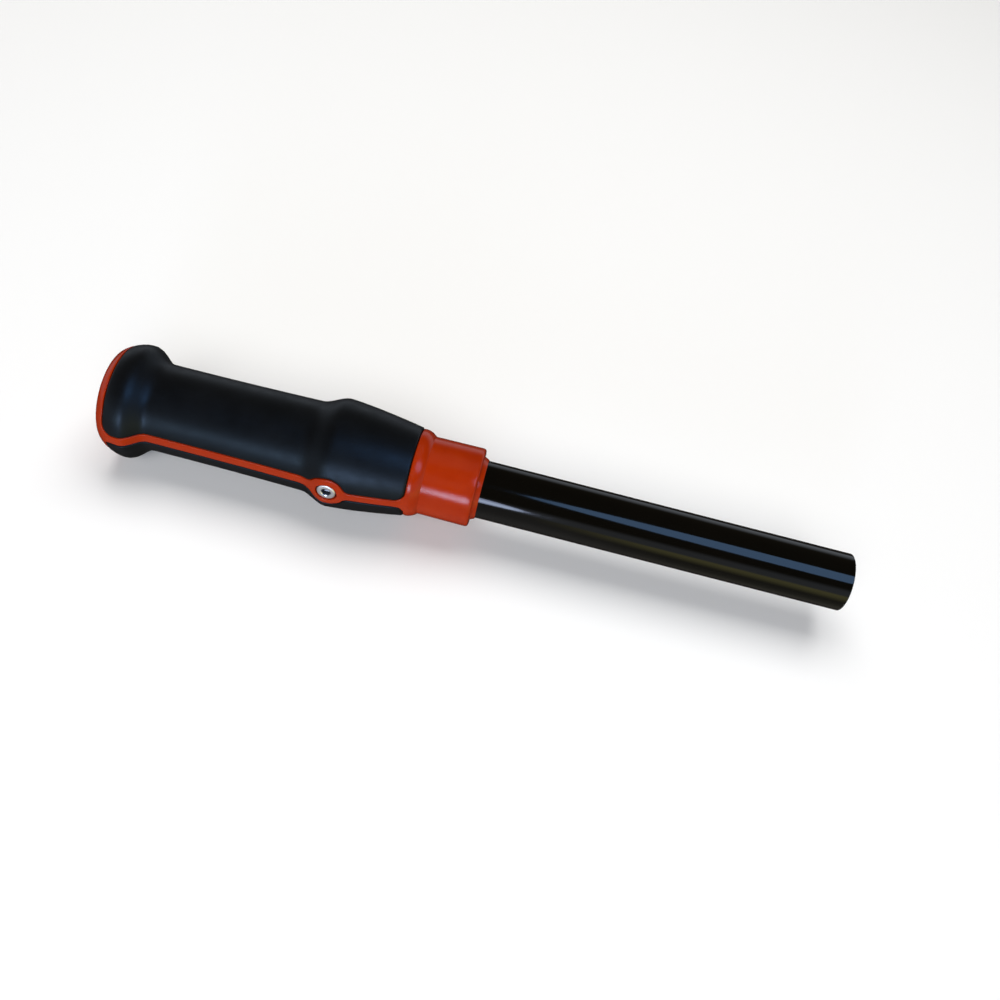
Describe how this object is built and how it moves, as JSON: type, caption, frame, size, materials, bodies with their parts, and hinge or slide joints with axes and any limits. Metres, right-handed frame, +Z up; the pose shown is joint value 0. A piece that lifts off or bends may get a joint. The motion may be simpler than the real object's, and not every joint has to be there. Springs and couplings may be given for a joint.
{
  "type": "pull-release pole handle",
  "caption": "Lower end of a sign pole with a black and red-orange grip that slides back on the tube against a spring and pulls an inner release rod.",
  "frame": {"origin": "centre of the pole tube's open end, where the rest of the pole joins", "axes": "+X along the pole, out of its open end and away from the handle; the cross bolt lies along Y; +Z up"},
  "size_m": [0.3255, 0.0496, 0.0498],
  "materials": {
    "pole_black": "gloss powder coat",
    "orange": "semi-gloss red-orange",
    "soft_grip": "satin soft grip",
    "steel": "bright zinc plated",
    "spring_steel": "oiled spring steel",
    "acetal": "natural acetal",
    "rubber": "matt black"
  },
  "bodies": {
    "pole": {"pole_tube": "pole_black", "tube_end_plug": "acetal", "plug_pin": "steel", "plug_spring_washer": "steel", "return_spring": "spring_steel", "rod_guide_bush": "acetal", "bump_stop": "rubber"},
    "handle": {"handle_core": "orange", "grip_panel_upper": "soft_grip", "grip_panel_lower": "soft_grip", "butt_cap": "orange", "butt_cap_screws": "steel", "front_bush": "orange", "wiper_ring": "rubber", "rear_bush": "acetal", "rear_bush_clip": "spring_steel", "cross_bolt": "steel", "cross_bolt_nut": "steel", "slot_sleeves": "steel", "anchor_block": "acetal", "block_spring_washer": "steel", "pull_rod": "steel", "rod_lock_nuts": "steel", "rod_coupler": "steel"}
  },
  "joints": [
    {"name": "handle_pull", "type": "slide", "parent": "pole", "child": "handle", "axis": [-1, 0, 0], "range_m": [0, 0.025], "stiffness_N_per_m": 1300, "springref_m": -0.012, "deforming": ["return_spring"]}
  ]
}
